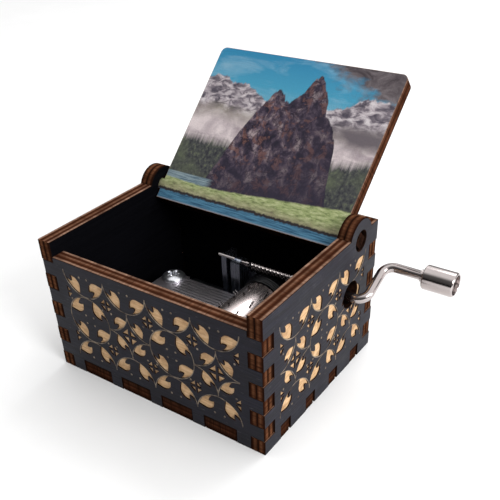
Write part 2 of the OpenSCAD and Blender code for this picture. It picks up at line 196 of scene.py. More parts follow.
class Shader:
    """A material with one Principled shader, and short ways to add nodes to it."""

    def __init__(self, name):
        self.material = bpy.data.materials.new(name)
        self.material.use_nodes = True
        self.tree = self.material.node_tree
        self.principled = self.tree.nodes["Principled BSDF"]
        self.coords = self.tree.nodes.new("ShaderNodeTexCoord").outputs["Object"]

    def put(self, socket, value):
        """Links a socket to another node's output, or sets it to a fixed value."""
        if isinstance(value, bpy.types.NodeSocket):
            self.tree.links.new(value, socket)
        else:
            socket.default_value = value

    def math(self, operation, a, b=0.0):
        """A sum, a product or the like of two values."""
        made = self.tree.nodes.new("ShaderNodeMath")
        made.operation = operation
        self.put(made.inputs[0], a)
        self.put(made.inputs[1], b)
        return made.outputs[0]

    def along(self, direction, start=0.0):
        """Distance along a direction, in metres, from the plane at start."""
        made = self.tree.nodes.new("ShaderNodeVectorMath")
        made.operation = "DOT_PRODUCT"
        self.put(made.inputs[0], self.coords)
        made.inputs[1].default_value = direction
        return self.math("SUBTRACT", made.outputs["Value"], start)

    def stretched(self, across, up, out, scales):
        """Coordinates along three directions, each with its own scale: for grain."""
        made = self.tree.nodes.new("ShaderNodeCombineXYZ")
        for socket, direction, scale in zip(made.inputs, (across, up, out), scales):
            self.put(socket, self.math("MULTIPLY", self.along(direction), scale))
        return made.outputs[0]

    def noise(self, vector, scale, detail=4.0, roughness=0.55, distortion=0.0):
        """Cloudy noise about 0.5, finer for a larger scale."""
        made = self.tree.nodes.new("ShaderNodeTexNoise")
        self.put(made.inputs["Vector"], vector)
        made.inputs["Scale"].default_value = scale
        made.inputs["Detail"].default_value = detail
        made.inputs["Roughness"].default_value = roughness
        made.inputs["Distortion"].default_value = distortion
        return made.outputs["Fac"]

    def ramp(self, factor, stops):
        """Colours by position, from a list of (position, (r, g, b))."""
        made = self.tree.nodes.new("ShaderNodeValToRGB")
        points = made.color_ramp.elements
        while len(points) < len(stops):
            points.new(1.0)
        for point, (position, colour) in zip(points, stops):
            point.position = position
            point.color = (*colour, 1)
        self.put(made.inputs["Fac"], factor)
        return made.outputs["Color"]

    def grey(self, factor, low, high, lowest=0.0, highest=1.0):
        """Factor from low to high mapped to lowest..highest, and held there beyond."""
        made = self.tree.nodes.new("ShaderNodeMapRange")
        self.put(made.inputs["Value"], factor)
        made.inputs["From Min"].default_value = low
        made.inputs["From Max"].default_value = high
        made.inputs["To Min"].default_value = lowest
        made.inputs["To Max"].default_value = highest
        return made.outputs["Result"]

    def mix(self, factor, a, b, blend="MIX"):
        """Colour a where factor is 0, and b blended over it where factor is 1."""
        made = self.tree.nodes.new("ShaderNodeMix")
        made.data_type = "RGBA"
        made.blend_type = blend
        self.put(made.inputs["Factor"], factor)
        for socket, value in ((made.inputs["A"], a), (made.inputs["B"], b)):
            if isinstance(value, tuple):
                value = (*value, 1)
            self.put(socket, value)
        return made.outputs["Result"]

    def bump(self, height, strength, distance):
        """Makes the surface look uneven, by a height that spans distance metres."""
        made = self.tree.nodes.new("ShaderNodeBump")
        self.put(made.inputs["Height"], height)
        made.inputs["Strength"].default_value = strength
        made.inputs["Distance"].default_value = distance
        self.put(self.principled.inputs["Normal"], made.outputs["Normal"])

    def finish(self, colour, roughness, metallic=0.0, **fixed):
        """The finished material, with other inputs of its shader set by name."""
        self.put(self.principled.inputs["Base Color"], colour)
        self.put(self.principled.inputs["Roughness"], roughness)
        self.principled.inputs["Metallic"].default_value = metallic
        for key, value in fixed.items():
            self.principled.inputs[key.replace("_", " ")].default_value = value
        return self.material


def floor_material():
    """Nearly white, with the faintest specks."""
    s = Shader("pale_floor")
    speck = s.noise(s.coords, 40.0)
    return s.finish(s.ramp(speck, [(0.3, (0.91, 0.91, 0.91)), (0.7, (0.93, 0.93, 0.93))]), 0.7)


# ------------------------------------------------------------------ plywood materials

STAIN_DARK = (0.0024, 0.0024, 0.0068)
STAIN_LIGHT = (0.0080, 0.0078, 0.0185)
STAIN_WORN = (0.0165, 0.0145, 0.020)
STAIN_PORE = (0.050, 0.044, 0.050)
CHAR = (0.010, 0.005, 0.003)
BURNT = (0.030, 0.0095, 0.005)
BROWN = (0.088, 0.031, 0.015)
TAN = (0.30, 0.175, 0.120)
BIRCH = (0.68, 0.44, 0.235)


def stain_material(name, across, out):
    """Black stain on veneer: fine grain along the board, browned round the engraving."""
    s = Shader(name)
    fibres = s.noise(s.stretched(across, UP, out, (90, 1700, 400)), 1.0, 3.0, 0.6)
    clouds = s.noise(s.coords, 130.0, 5.0, 0.6)
    colour = s.mix(s.grey(fibres, 0.38, 0.66), STAIN_DARK, STAIN_LIGHT)
    colour = s.mix(s.grey(clouds, 0.42, 0.70, 0.0, 0.6), colour, STAIN_WORN)
    pores = s.noise(s.stretched(across, UP, out, (500, 2600, 900)), 1.0, 2.0, 0.5)
    colour = s.mix(s.grey(pores, 0.66, 0.74, 0.0, 0.7), colour, STAIN_PORE)
    burn = s.tree.nodes.new("ShaderNodeAttribute")
    burn.attribute_name = "burn"
    ragged = s.grey(s.noise(s.coords, 1500.0), 0.25, 0.6)
    scorch = s.math("MULTIPLY", s.math("POWER", burn.outputs["Fac"], 1.3), ragged)
    colour = s.mix(scorch, colour, BURNT)
    s.bump(fibres, 0.35, 0.15 * MM)
    return s.finish(colour, s.grey(clouds, 0.3, 0.7, 0.42, 0.58), Specular_IOR_Level=0.15)


def engraved_material(name, across, out):
    """Bare birch at the bottom of the engraving: warm, with grain and scorched patches."""
    s = Shader(name)
    fibres = s.noise(s.stretched(across, UP, out, (200, 2200, 300)), 1.0, 4.0, 0.65)
    patches = s.noise(s.coords, 480.0, 3.0)
    colour = s.ramp(fibres, [(0.28, (0.40, 0.22, 0.10)), (0.5, BIRCH), (0.75, (0.78, 0.56, 0.35))])
    colour = s.mix(s.grey(patches, 0.46, 0.72, 0.0, 0.8), colour, (0.33, 0.165, 0.07))
    s.bump(fibres, 0.5, 0.1 * MM)
    return s.finish(colour, 0.75, Specular_IOR_Level=0.25)


def scratch_material(name):
    """The fine ring lines and dots: engraved lightly, so grey with ash."""
    s = Shader(name)
    ash = s.noise(s.coords, 700.0, 3.0)
    return s.finish(s.ramp(ash, [(0.35, (0.09, 0.066, 0.050)), (0.65, (0.36, 0.29, 0.22))]), 0.7)


def charred_material(name):
    """Wood burnt by the beam: the sides of the engraving, the holes and the lid's stubs. The lid's foot edge
    gets the same black as painted shade.
    """
    s = Shader(name)
    soot = s.noise(s.coords, 900.0, 3.0)
    colour = s.ramp(soot, [(0.35, (0.005, 0.003, 0.002)), (0.70, (0.026, 0.011, 0.007))])
    return s.finish(colour, 0.85, Specular_IOR_Level=0.0)


def layer_material(name, out, start, stops, char):
    """A laser-cut plywood edge: veneers across the thickness, striped and charred by the beam."""
    s = Shader(name)
    across = UP.cross(out) if abs(out.z) < 0.9 else Vector((1, 0, 0))
    along = out.cross(across)
    wobble = s.math("MULTIPLY", s.math("SUBTRACT", s.noise(s.coords, 300.0), 0.5), 0.07)
    depth = s.math("DIVIDE", s.along(out, start), PLY)
    layers = s.ramp(s.math("ADD", depth, wobble), stops)
    beam = s.noise(s.stretched(across, along, out, (1700, 1700, 120)), 1.0, 3.0, 0.7)
    colour = s.mix(s.grey(beam, 0.40, 0.70, 0.0, char), layers, CHAR)
    soot = s.noise(s.coords, 190.0, 4.0, 0.6)
    colour = s.mix(s.grey(soot, 0.46, 0.70, 0.0, 0.7), colour, BURNT)
    s.bump(beam, 0.7, 0.2 * MM)
    return s.finish(colour, 0.75, Specular_IOR_Level=0.0)


# Veneers from the outer face (0) to the inner one (1)
RUST = (0.15, 0.065, 0.036)
TOP_EDGE = [
    (0.00, BURNT), (0.05, TAN), (0.14, TAN), (0.20, BROWN), (0.30, BURNT), (0.42, BROWN), (0.47, RUST),
    (0.56, (0.20, 0.105, 0.066)), (0.62, BROWN), (0.72, BURNT), (0.82, BROWN), (0.86, TAN), (0.97, TAN),
    (1.00, BURNT)]
TAB_END = [
    (0.00, CHAR), (0.09, BURNT), (0.17, BROWN), (0.30, (0.18, 0.075, 0.037)), (0.42, BROWN),
    (0.47, CHAR), (0.54, CHAR), (0.60, BROWN), (0.74, (0.16, 0.067, 0.032)), (0.88, BURNT), (1.00, CHAR)]
FLOOR_TAB = [
    (0.00, CHAR), (0.20, BURNT), (0.40, (0.06, 0.024, 0.013)), (0.50, BROWN), (0.60, BURNT),
    (0.80, (0.06, 0.024, 0.013)), (1.00, CHAR)]
# On the lid's edge the pale last stops, at the printed face, are a painted highlight along that edge.
LID_EDGE = [
    (0.00, CHAR), (0.08, BURNT), (0.20, BROWN), (0.34, (0.115, 0.044, 0.023)), (0.44, BURNT), (0.50, BROWN),
    (0.62, CHAR), (0.70, BROWN), (0.84, (0.12, 0.05, 0.03)), (0.93, BURNT), (0.96, TAN), (1.00, TAN)]


def inside_material(name, across, out):
    """Flat black inside the case."""
    s = Shader(name)
    fibres = s.noise(s.stretched(across, UP, out, (60, 1300, 400)), 1.0, 3.0)
    s.bump(fibres, 0.3, 0.1 * MM)
    colour = s.ramp(fibres, [(0.3, (0.0012, 0.0012, 0.0020)), (0.7, (0.0026, 0.0026, 0.0038))])
    return s.finish(colour, 0.7, Specular_IOR_Level=0.03)


def bare_material(name, out):
    """Raw birch veneer, as under the case: warm, with long dark fibres and darker patches."""
    s = Shader(name)
    across = Vector((1, 0, 0))
    grain = s.noise(s.stretched(across, out.cross(across), out, (45, 900, 300)), 1.0, 5.0, 0.65, 0.6)
    clouds = s.noise(s.coords, 60.0, 3.0)
    shades = [(0.28, (0.36, 0.22, 0.11)), (0.5, (0.60, 0.42, 0.25)), (0.75, (0.70, 0.53, 0.34))]
    colour = s.mix(s.grey(clouds, 0.4, 0.7, 0.0, 0.35), s.ramp(grain, shades), (0.45, 0.29, 0.16))
    s.bump(grain, 0.4, 0.1 * MM)
    return s.finish(colour, 0.65, Specular_IOR_Level=0.3)


# ------------------------------------------------------------------ the lid's printed picture

# Skylines, as (u, v) points, and heights v: u is 0 to 1 from left to right, v is 0 to 1 upwards
FAR_RANGE = [
    (0, 0.80), (0.08, 0.825), (0.16, 0.79), (0.24, 0.785), (0.34, 0.73), (0.5, 0.66), (0.68, 0.72),
    (0.78, 0.76), (0.88, 0.835), (0.95, 0.82), (1, 0.83)]
CRAG = [
    (0, 0.05), (0.19, 0.12), (0.24, 0.24), (0.28, 0.44), (0.33, 0.60), (0.38, 0.74), (0.43, 0.79),
    (0.48, 0.73), (0.54, 0.80), (0.60, 0.90), (0.65, 0.84), (0.70, 0.70), (0.77, 0.60), (0.82, 0.42),
    (0.86, 0.22), (0.90, 0.12), (1, 0.05)]
MEADOW = [(0, 0.145), (0.3, 0.135), (0.6, 0.165), (1, 0.205)]
TREE_LINE = 0.365
POND_TOP = 0.183
BANK_TOP = 0.072
WATER_TOP = 0.055
FOOT_BAND = 0.009


class Painting(Shader):
    """A picture over the lid's inner face, painted layer over layer from the back."""

    def __init__(self, name):
        super().__init__(name)
        self.u = self.math("DIVIDE", self.along((1, 0, 0), PRINT_LEFT), PRINT_W)
        self.v = self.math("DIVIDE", self.along(LID_ALONG, PRINT_FOOT), PRINT_H)

    def flat(self, u, v):
        """A place in the picture, as a vector."""
        made = self.tree.nodes.new("ShaderNodeCombineXYZ")
        self.put(made.inputs["X"], u)
        self.put(made.inputs["Y"], v)
        return made.outputs[0]

    def brush(self, scale_u, scale_v, detail=4.0, twist=0.0):
        """Noise over the picture, with so many features across it and up it."""
        u = self.math("MULTIPLY", self.u, scale_u)
        v = self.math("MULTIPLY", self.v, scale_v)
        return self.noise(self.flat(u, v), 1.0, detail, 0.6, twist)

    def shift(self, value, amount, scale_u, scale_v, detail=4.0):
        """A value made uneven by noise."""
        sway = self.math("SUBTRACT", self.brush(scale_u, scale_v, detail), 0.5)
        return self.math("ADD", value, self.math("MULTIPLY", sway, amount))

    def skyline(self, points):
        """Heights across the picture, from (u, v) points joined smoothly."""
        curve = self.tree.nodes.new("ShaderNodeFloatCurve")
        line = curve.mapping.curves[0]
        while len(line.points) < len(points):
            line.points.new(0.5, 0.5)
        for point, place in zip(line.points, points):
            point.location = place
        curve.mapping.update()
        self.put(curve.inputs["Value"], self.u)
        return curve.outputs["Value"]

    def below(self, height, soft=0.006):
        """1 below a height in the picture, 0 above it, and between them softly."""
        return self.below_at(self.v, height, soft)

    def below_at(self, v, height, soft):
        """1 where v is less than a height, 0 where it is more."""
        return self.grey(self.math("SUBTRACT", height, v), -soft, soft)


def paint_sky(s):
    """Blue sky with thin cloud, and smoke drifting into its upper right corner."""
    sky = s.ramp(s.v, [(0.62, (0.25, 0.52, 0.64)), (0.80, (0.075, 0.38, 0.58)), (1.0, (0.035, 0.27, 0.49))])
    cloud = s.grey(s.brush(3.0, 9.0, 5.0, 0.5), 0.50, 0.75, 0.0, 0.75)
    sky = s.mix(cloud, sky, (0.36, 0.58, 0.72))
    corner = s.math("ADD", s.v, s.math("MULTIPLY", s.u, 0.55))
    smoke = s.ramp(s.brush(9, 11, 4.0, 0.8), [(0.38, (0.075, 0.060, 0.066)), (0.62, (0.22, 0.19, 0.20))])
    return s.mix(s.grey(s.shift(corner, 0.5, 7, 9), 1.27, 1.38), sky, smoke)


def paint_range(s, picture):
    """Snowy mountains with brown foothills."""
    snow = s.ramp(s.brush(16, 24, 8.0, 0.6), [
        (0.36, (0.085, 0.075, 0.10)), (0.46, (0.22, 0.19, 0.22)),
        (0.54, (0.52, 0.46, 0.49)), (0.64, (0.78, 0.72, 0.74))])
    foothill = s.grey(s.shift(s.v, 0.12, 12, 12), 0.66, 0.60, 0.0, 0.7)
    rock = s.mix(foothill, snow, (0.30, 0.27, 0.20))
    return s.mix(s.below(s.shift(s.skyline(FAR_RANGE), 0.07, 30, 3)), picture, rock)


def paint_mist(s, picture):
    """Pale mist in the valley, and a dark slope that comes out of it on the right."""
    mist = s.ramp(s.brush(5, 9, 5.0, 0.8), [(0.34, (0.46, 0.38, 0.41)), (0.58, (0.88, 0.77, 0.77))])
    picture = s.mix(s.grey(s.shift(s.v, 0.16, 5, 7), 0.64, 0.52), picture, mist)
    rightwards = s.grey(s.shift(s.u, 0.25, 7, 7), 0.70, 0.84)
    upwards = s.grey(s.shift(s.v, 0.14, 9, 9), 0.50, 0.58)
    slope = s.math("MULTIPLY", s.math("MULTIPLY", rightwards, upwards), s.below(0.66, 0.04))
    return s.mix(slope, picture, (0.17, 0.145, 0.16))


def paint_wood(s, picture):
    """A dark wood with a ragged top, a little higher at the right edge."""
    top = s.math("ADD", TREE_LINE, s.math("MULTIPLY", s.brush(70, 2, 3.0), 0.10))
    top = s.math("ADD", top, s.math("MULTIPLY", s.math("POWER", s.u, 8.0), 0.07))
    leaves = s.ramp(s.brush(60, 40, 5.0), [
        (0.35, (0.035, 0.035, 0.045)), (0.55, (0.085, 0.09, 0.085)), (0.70, (0.17, 0.19, 0.12))])
    wood = s.mix(s.grey(s.brush(5, 5), 0.45, 0.62, 0.0, 0.55), leaves, (0.16, 0.19, 0.11))
    return s.mix(s.below(top, 0.03), picture, wood)


def paint_crag(s, picture):
    """A plain rock with two peaks: facets, warm patches, dark cracks, and shade low down."""
    crag = s.ramp(s.brush(19, 13, 8.0, 0.5), [
        (0.36, (0.020, 0.017, 0.030)), (0.45, (0.060, 0.045, 0.070)), (0.52, (0.13, 0.095, 0.130)),
        (0.58, (0.24, 0.175, 0.20)), (0.65, (0.46, 0.37, 0.38))])
    warm = s.grey(s.brush(17, 14, 4.0, 1.0), 0.54, 0.60, 0.0, 0.7)
    crag = s.mix(warm, crag, (0.27, 0.125, 0.095))
    for scale_u, scale_v, width in ((9, 6, 0.022), (28, 18, 0.030)):
        crack = s.math("ABSOLUTE", s.math("SUBTRACT", s.brush(scale_u, scale_v, 6.0, 0.8), 0.5))
        crag = s.mix(s.grey(crack, 0.0, width, 0.85, 0.0), crag, (0.014, 0.011, 0.020))
    away = s.grey(s.shift(s.u, 0.25, 6, 6), 0.30, 0.75, 0.0, 0.6)
    crag = s.mix(away, crag, (0.035, 0.028, 0.045))
    foot = s.grey(s.shift(s.v, 0.2, 8, 8), 0.46, 0.16, 0.0, 0.75)
    crag = s.mix(foot, crag, (0.040, 0.034, 0.055))
    return s.mix(s.below(s.shift(s.skyline(CRAG), 0.13, 26, 4, 6.0)), picture, crag)


def paint_meadow(s, picture):
    """A pond on the left and a meadow in front of it."""
    pond = s.math("MULTIPLY", s.grey(s.shift(s.u, 0.1, 3, 60), 0.27, 0.23), s.below(POND_TOP, 0.004))
    ripples = s.ramp(s.brush(8, 120), [(0.4, (0.12, 0.19, 0.24)), (0.6, (0.34, 0.44, 0.47))])
    picture = s.mix(pond, picture, ripples)
    grass = s.ramp(s.brush(24, 70, 6.0), [
        (0.32, (0.15, 0.19, 0.08)), (0.48, (0.38, 0.45, 0.19)), (0.64, (0.62, 0.66, 0.36))])
    soil = s.grey(s.shift(s.v, 0.08, 12, 12), 0.13, 0.07, 0.0, 0.6)
    grass = s.mix(soil, grass, (0.30, 0.22, 0.18))
    return s.mix(s.below(s.shift(s.skyline(MEADOW), 0.02, 20, 3), 0.005), picture, grass)


def paint_water(s, picture):
    """A dark bank, the water below it, and a pale band along the lid's foot."""
    bank = s.shift(s.v, 0.03, 40, 5)
    picture = s.mix(s.below_at(bank, BANK_TOP, 0.004), picture, (0.035, 0.03, 0.03))
    water = s.ramp(s.brush(10, 150), [(0.35, (0.025, 0.085, 0.16)), (0.6, (0.10, 0.27, 0.41))])
    picture = s.mix(s.below_at(bank, WATER_TOP, 0.004), picture, water)
    return s.mix(s.below(FOOT_BAND, 0.003), picture, (0.25, 0.30, 0.36))


def landscape_material():
    """A mountain landscape printed on the veneer, whose grain shows through."""
    s = Painting("landscape_print")
    picture = paint_sky(s)
    for paint in (paint_range, paint_mist, paint_wood, paint_crag, paint_meadow, paint_water):
        picture = paint(s, picture)
    grain = s.noise(s.stretched((1, 0, 0), LID_ALONG, LID_OUT, (2600, 260, 200)), 1.0, 3.0, 0.6)
    picture = s.mix(s.grey(grain, 0.35, 0.7, 0.0, 0.28), picture, (0.55, 0.50, 0.48), "SOFT_LIGHT")
    speckle = s.noise(s.flat(s.u, s.v), 190.0, 3.0, 0.7)
    picture = s.mix(s.grey(speckle, 0.3, 0.7, 0.35, 0.0), picture, (0.03, 0.03, 0.04))
    s.bump(grain, 0.25, 0.1 * MM)
    return s.finish(picture, 0.65, Specular_IOR_Level=0.06)


# ------------------------------------------------------------------ engraved ornament

# Millimetres, in the flat plane of a wall
RING_R = 6.45
ROW_PITCH = 13.1
COLUMN_PITCH = 12.8
LINE_W = 0.26
DOT_R = 0.30
STAR_ROSETTE = 2.55
EDGE_ROSETTE = 1.95
# Width of the browned rim round the deep engraving
HALO = 0.38
# Size of a star's buds, against a ring's
STAR_BUD = 0.84
# Degrees: one straight piece of a ring, and how far the outer and the quarter rings stop short
LINE_STEP = 7.5
RING_STOP = 4
QUARTER_STOP = 2


def smooth_outline(points, steps=5):
    """A closed outline from curves: each end point is followed by the next curve's control."""
    outline = []
    count = len(points)
    for i in range(0, count, 2):
        a, control, b = points[i], points[i + 1], points[(i + 2) % count]
        for k in range(steps):
            t = k / steps
            outline.append(tuple(
                (1 - t) ** 2 * p + 2 * t * (1 - t) * c + t * t * q for p, c, q in zip(a, control, b)))
    return outline


# A forked bud on a ring: distance along the ring from its tip, and distance inwards from the ring
BUD_L = 6.1
BUD = smooth_outline([
    (0.0, 0.12), (0.0, 1.25), (0.35, 2.25), (0.8, 3.40), (2.9, 3.40), (4.7, 3.45), (5.1, 2.90),
    (5.8, 2.55), (6.0, 1.80), (4.9, 2.05), (4.05, 1.30), (4.7, 0.75), (6.1, 0.22), (3.0, 0.0)])


def bud(centre, middle_angle, scale=1.0):
    """A bud that follows the ring round centre, clockwise, about its middle angle."""
    outline = []
    for along, inwards in BUD:
        angle = math.radians(middle_angle) + (BUD_L / 2 - along) * scale / RING_R
        radius = RING_R - inwards * scale
        outline.append((centre[0] + radius * math.cos(angle), centre[1] + radius * math.sin(angle)))
    return outline


def ring_line(centre, first, last):
    """A thin line on the ring from one angle to another, anticlockwise."""
    count = max(4, round(abs(last - first) / LINE_STEP))
    angles = [math.radians(first + (last - first) * i / count) for i in range(count + 1)]
    outer = [(RING_R + LINE_W / 2, a) for a in angles]
    inner = [(RING_R - LINE_W / 2, a) for a in reversed(angles)]
    return [(centre[0] + r * math.cos(a), centre[1] + r * math.sin(a)) for r, a in outer + inner]


def dot(centre):
    """A small nine-sided dot."""
    angles = [math.radians(a) for a in range(0, 360, 40)]
    return [(centre[0] + DOT_R * math.cos(a), centre[1] + DOT_R * math.sin(a)) for a in angles]


def rosette(centre, size, sides=(-1, 1)):
    """A diamond cut into triangles by a cross; only the given sides of it."""
    gap = 0.13 * size
    corners = [(gap, gap), (size - gap, gap), (gap, size - gap)]
    return [[(centre[0] + sx * x, centre[1] + sy * y) for x, y in corners] for sx in sides for sy in (-1, 1)]


def ring_cell(centre):
    """A whole ring with four buds on it and four dots in the middle."""
    lines = [ring_line(centre, 0, 180), ring_line(centre, 180, 360)]
    lines += [dot((centre[0] + dx, centre[1] + dy)) for dx in (-1.25, 1.25) for dy in (-1.15, 1.15)]
    return lines, [bud(centre, angle) for angle in (45, 135, 225, 315)]


def star_cell(centre):
    """Four quarter rings round the cell's corners, with a rosette in the middle."""
    lines, cuts = [], rosette(centre, STAR_ROSETTE)
    for sx, sy, first in ((1, 1, 180), (-1, 1, 270), (-1, -1, 0), (1, -1, 90)):
        corner = (centre[0] + sx * COLUMN_PITCH / 2, centre[1] + sy * ROW_PITCH / 2)
        lines.append(ring_line(corner, first + QUARTER_STOP, first + 90 - QUARTER_STOP))
        cuts.append(bud(corner, first + 45, STAR_BUD))
    return lines, cuts


def ornament(columns, centre, middle_z, ring_first):
    """The wall's whole pattern: a middle row of cells between two rows of half rings."""
    lines, cuts = [], []
    left = centre - columns * COLUMN_PITCH / 2
    upper, lower = middle_z + ROW_PITCH, middle_z - ROW_PITCH
    for column in range(columns):
        x = left + (column + 0.5) * COLUMN_PITCH
        cell = ring_cell if (column % 2 == 0) == ring_first else star_cell
        cell_lines, cell_cuts = cell((x, middle_z))
        lines += cell_lines
        lines += [ring_line((x, upper), 180 + RING_STOP, 360 - RING_STOP)]
        lines += [ring_line((x, lower), RING_STOP, 180 - RING_STOP)]
        lines += [dot((x + dx, upper - 1.2)) for dx in (-1.2, 1.2)]
        lines += [dot((x + dx, lower + 1.2)) for dx in (-1.4, 1.4)]
        cuts += cell_cuts + [bud((x, upper), angle) for angle in (225, 315)]
        cuts += [bud((x, lower), angle) for angle in (45, 135)]
    for column in range(columns + 1):
        x = left + column * COLUMN_PITCH
        sides = [1] * (column < columns) + [-1] * (column > 0)
        for y, away in ((middle_z + ROW_PITCH / 2, -1.75), (middle_z - ROW_PITCH / 2, 1.6)):
            cuts += rosette((x, y), EDGE_ROSETTE, sides)
            lines += [dot((x + side * 1.4, y + away)) for side in sides]
    return lines, cuts


def anticlockwise(outline):
    """The outline, turned round if it runs clockwise."""
    area = sum(a[0] * b[1] - b[0] * a[1] for a, b in zip(outline, outline[1:] + outline[:1]))
    return outline if area > 0 else outline[::-1]


def grown(outline, distance):
    """An anticlockwise outline moved outwards by a distance, point by point."""
    moved = []
    for i, point in enumerate(outline):
        before, after = Vector(outline[i - 1]), Vector(outline[(i + 1) % len(outline)])
        along = (after - before).normalized()
        moved.append((point[0] + along.y * distance, point[1] - along.x * distance))
    return moved


# ------------------------------------------------------------------ meshes from CAD nodes

# Degrees between two faces: flatter ones are merged, sharper ones are eased or stay sharp
MERGED_BELOW = 1
EASED_ABOVE = 35
SHARP_ABOVE = 38


def cad_copy(node, edge=0.0):
    """The node's mesh with its flat faces merged and its sharp edges eased by edge metres."""
    bm = bmesh.new()
    bm.from_mesh(frame["nodes"][node].data)
    bmesh.ops.remove_doubles(bm, verts=bm.verts, dist=1e-7)
    bmesh.ops.dissolve_limit(
        bm, angle_limit=math.radians(MERGED_BELOW), verts=bm.verts, edges=bm.edges)
    if edge:
        limit = math.radians(EASED_ABOVE)
        sharp = [e for e in bm.edges if e.is_manifold and e.calc_face_angle() > limit]
        bmesh.ops.bevel(
            bm, geom=sharp, offset=edge, segments=2, profile=0.6, affect="EDGES", clamp_overlap=True)
    bm.normal_update()
    return bm


def new_piece(bm, name, body, node, materials, smooth=False):
    """A mesh object that stands for a CAD node and rides on its body."""
    mesh = bpy.data.meshes.new(name)
    bm.to_mesh(mesh)
    bm.free()
    for material in materials:
        mesh.materials.append(material)
    piece = bpy.data.objects.new(name, mesh)
    bpy.context.collection.objects.link(piece)
    if smooth:
        mesh.polygons.foreach_set("use_smooth", [True] * len(mesh.polygons))
        mesh.set_sharp_from_angle(angle=math.radians(SHARP_ABOVE))
        weighted = piece.modifiers.new("weighted", "WEIGHTED_NORMAL")
        weighted.keep_sharp = True
    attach(piece, body)
    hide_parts(node)
    return piece


def join_rings(bm, first, second, slot=0):
    """Faces between two rings that have the same number of vertices."""
    count = len(first)
    for k in range(count):
        after = (k + 1) % count
        bm.faces.new([first[k], first[after], second[after], second[k]]).material_index = slot


# ------------------------------------------------------------------ plywood pieces

# Material slots of a wall
STAIN, BIRCH_CUT, CHARRED, TOP_LAYERS, CUT_LAYERS, INSIDE, ASH = range(7)
# Depth in millimetres and material slot of each kind of surface, and the slot of its sides
DEPTHS = {"face": 0.0, "line": 0.1, "cut": 0.28}
ENGRAVED_SLOTS = {"face": STAIN, "cut": BIRCH_CUT, "line": ASH}
SIDE_SLOTS = {"cut": CHARRED, "line": ASH}


def flat_drawing(old, across, lines, cuts):
    """The old faces with the shapes drawn on them, in millimetres in the plane of the wall.

    Returns its points, and its triangles as (three point indices, kind of surface)."""
    flat, points, faces, edges = {}, [], [], []
    for f in old:
        for v in f.verts:
            if v not in flat:
                flat[v] = len(points)
                points.append(Vector((v.co.dot(across), v.co.z)) / MM)
        faces.append([flat[v] for v in f.verts])
    first_line = len(faces)
    first_cut = first_line + len(lines)
    for shape in lines + cuts:
        faces.append(list(range(len(points), len(points) + len(shape))))
        points += [Vector(p) for p in shape]
    for shape in cuts:
        first, count = len(points), len(shape)
        points += [Vector(p) for p in grown(shape, HALO)]
        edges += [(first + i, first + (i + 1) % count) for i in range(count)]
    found = delaunay_2d_cdt(points, edges, faces, 0, 1e-5, True)
    triangles = []
    for corners, source in zip(found[2], found[5]):
        if any(s < first_line for s in source):
            last = max(source)
            kind = "cut" if last >= first_cut else "line" if last >= first_line else "face"
            triangles.append((corners, kind))
    return found[0], triangles


def engrave(bm, out, lines, cuts):
    """Sinks the shapes into the flat face that looks along out, and marks their burnt rims."""
    across = UP.cross(out)
    level = max(v.co.dot(out) for v in bm.verts)
    old = [f for f in bm.faces
           if f.normal.dot(out) > LEVEL and f.calc_center_median().dot(out) > level - 0.01 * MM]
    lines = [anticlockwise(shape) for shape in lines]
    cuts = [anticlockwise(shape) for shape in cuts]
    flat_points, triangles = flat_drawing(old, across, lines, cuts)
    bmesh.ops.delete(bm, geom=old, context="FACES_ONLY")
    burn = bm.verts.layers.float.new("burn")
    placed = {}

    def vertex(index, kind):
        """The vertex of a flat point: on the face, or sunk to the depth of its kind of surface."""
        depth = DEPTHS[kind] * MM
        if (index, depth) not in placed:
            p = flat_points[index]
            placed[index, depth] = bm.verts.new(across * p.x * MM + UP * p.y * MM + out * (level - depth))
        return placed[index, depth]

    def column(index, low_kind, high_kind):
        """The vertices of a flat point from one kind's depth up to another's."""
        between = [d for d in DEPTHS.values() if DEPTHS[high_kind] < d < DEPTHS[low_kind]]
        middle = [placed.get((index, d * MM)) for d in between]
        return [vertex(index, low_kind)] + [v for v in middle if v] + [vertex(index, high_kind)]

    kinds = {}
    for corners, kind in triangles:
        bm.faces.new([vertex(i, kind) for i in corners]).material_index = ENGRAVED_SLOTS[kind]
        for i in range(3):
            kinds[corners[i], corners[(i + 1) % 3]] = kind
    for (a, b), kind in kinds.items():
        beside = kinds.get((b, a), "face")
        if DEPTHS[kind] > DEPTHS[beside]:
            sides = column(b, kind, beside)[::-1] + column(a, kind, beside)
            bm.faces.new(sides).material_index = SIDE_SLOTS[kind]
            if kind == "cut":
                for i in (a, b):
                    vertex(i, beside)[burn] = 1.0
    bmesh.ops.remove_doubles(bm, verts=bm.verts, dist=1e-6)
    bm.normal_update()


def wall_slot(f, out):
    """The material slot of a wall's face that isn't engraved."""
    facing = f.normal.dot(out)
    middle = f.calc_center_median()
    if facing < -FACING:
        return INSIDE
    if abs(facing) >= FACING:
        return STAIN
    has_holes = abs(out.x) > 0.5
    if has_holes and any((middle - axis).yz.length < HOLE_REACH for axis in (HINGE, CRANK)):
        return CHARRED
    straight_top = f.normal.z > 0.3 and middle.z < CASE_TOP + 0.1 * MM
    return TOP_LAYERS if straight_top else CUT_LAYERS


def plywood_wall(node, out, pattern):
    """A case wall with its engraving, stained face and burnt, layered edges."""
    out = Vector(out)
    across = UP.cross(out)
    bm = cad_copy(node, EASED)
    level = max(v.co.dot(out) for v in bm.verts)
    engrave(bm, out, *pattern)
    for f in bm.faces:
        if f.material_index == STAIN:
            f.material_index = wall_slot(f, out)
    materials = [
        stain_material(node + "_stain", across, out),
        engraved_material(node + "_birch", across, out),
        charred_material(node + "_rim"),
        layer_material(node + "_top_edge", -out, -level, TOP_EDGE, 0.6),
        layer_material(node + "_cut_edge", -out, -level, TAB_END, 0.8),
        inside_material(node + "_inside", across, out),
        scratch_material(node + "_lines")]
    return new_piece(bm, node + "_engraved", "case", node, materials)


